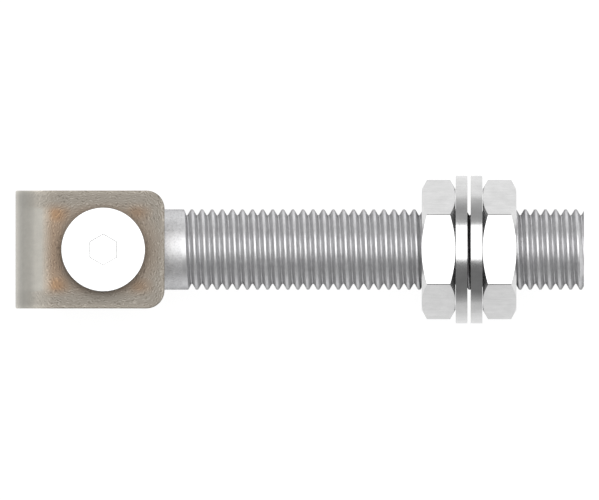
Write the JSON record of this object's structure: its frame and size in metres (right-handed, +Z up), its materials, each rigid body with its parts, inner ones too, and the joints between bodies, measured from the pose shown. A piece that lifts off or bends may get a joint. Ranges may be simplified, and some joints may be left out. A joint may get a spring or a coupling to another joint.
{
  "type": "adjustable gate hinge",
  "caption": "Weld-on fork with an upright pin; an eye bolt swings on it and clamps a gate frame between two thin nuts and washers.",
  "frame": {"origin": "middle of the fork's flat back, the face that is welded to the post", "axes": "+X out of the post along the eye bolt, +Z up along the pin, +Y across the fork"},
  "size_m": [0.1407, 0.0366, 0.0504],
  "materials": {
    "bare_steel": "bare mill-finish steel with faint rust tint, ready to weld",
    "zinc_steel": "bright zinc plating",
    "nylon": "natural nylon"
  },
  "bodies": {
    "post_fork": {"u_bracket": "bare_steel", "pin_bolt": "zinc_steel", "pin_lock_nut": "zinc_steel", "pin_nut_ring": "nylon"},
    "eye_bolt": {"eye_bolt": "zinc_steel"},
    "inner_washer": {"inner_washer": "zinc_steel"},
    "inner_nut": {"inner_nut": "zinc_steel"},
    "outer_washer": {"outer_washer": "zinc_steel"},
    "outer_nut": {"outer_nut": "zinc_steel"}
  },
  "joints": [
    {"name": "gate_swing", "type": "hinge", "parent": "post_fork", "child": "eye_bolt", "pos_m": [0.0217, 0, 0], "axis": [0, 0, 1], "range_deg": [-105, 105]},
    {"name": "inner_washer_slide", "type": "slide", "parent": "eye_bolt", "child": "inner_washer", "axis": [1, 0, 0], "range_m": [-0.0573, 0.00036]},
    {"name": "inner_nut_turn", "type": "hinge", "parent": "inner_washer", "child": "inner_nut", "pos_m": [0.104, 0, 0], "axis": [1, 0, 0], "range_deg": [-8250, 50]},
    {"name": "outer_washer_slide", "type": "slide", "parent": "eye_bolt", "child": "outer_washer", "axis": [1, 0, 0], "range_m": [-0.00036, 0.0167]},
    {"name": "outer_nut_turn", "type": "hinge", "parent": "outer_washer", "child": "outer_nut", "pos_m": [0.12, 0, 0], "axis": [1, 0, 0], "range_deg": [-50, 2390]}
  ],
  "couplings": [
    {"joint": "inner_washer_slide", "follows": "inner_nut_turn", "m_per_rad": 0.00039789},
    {"joint": "outer_washer_slide", "follows": "outer_nut_turn", "m_per_rad": 0.00039789}
  ]
}
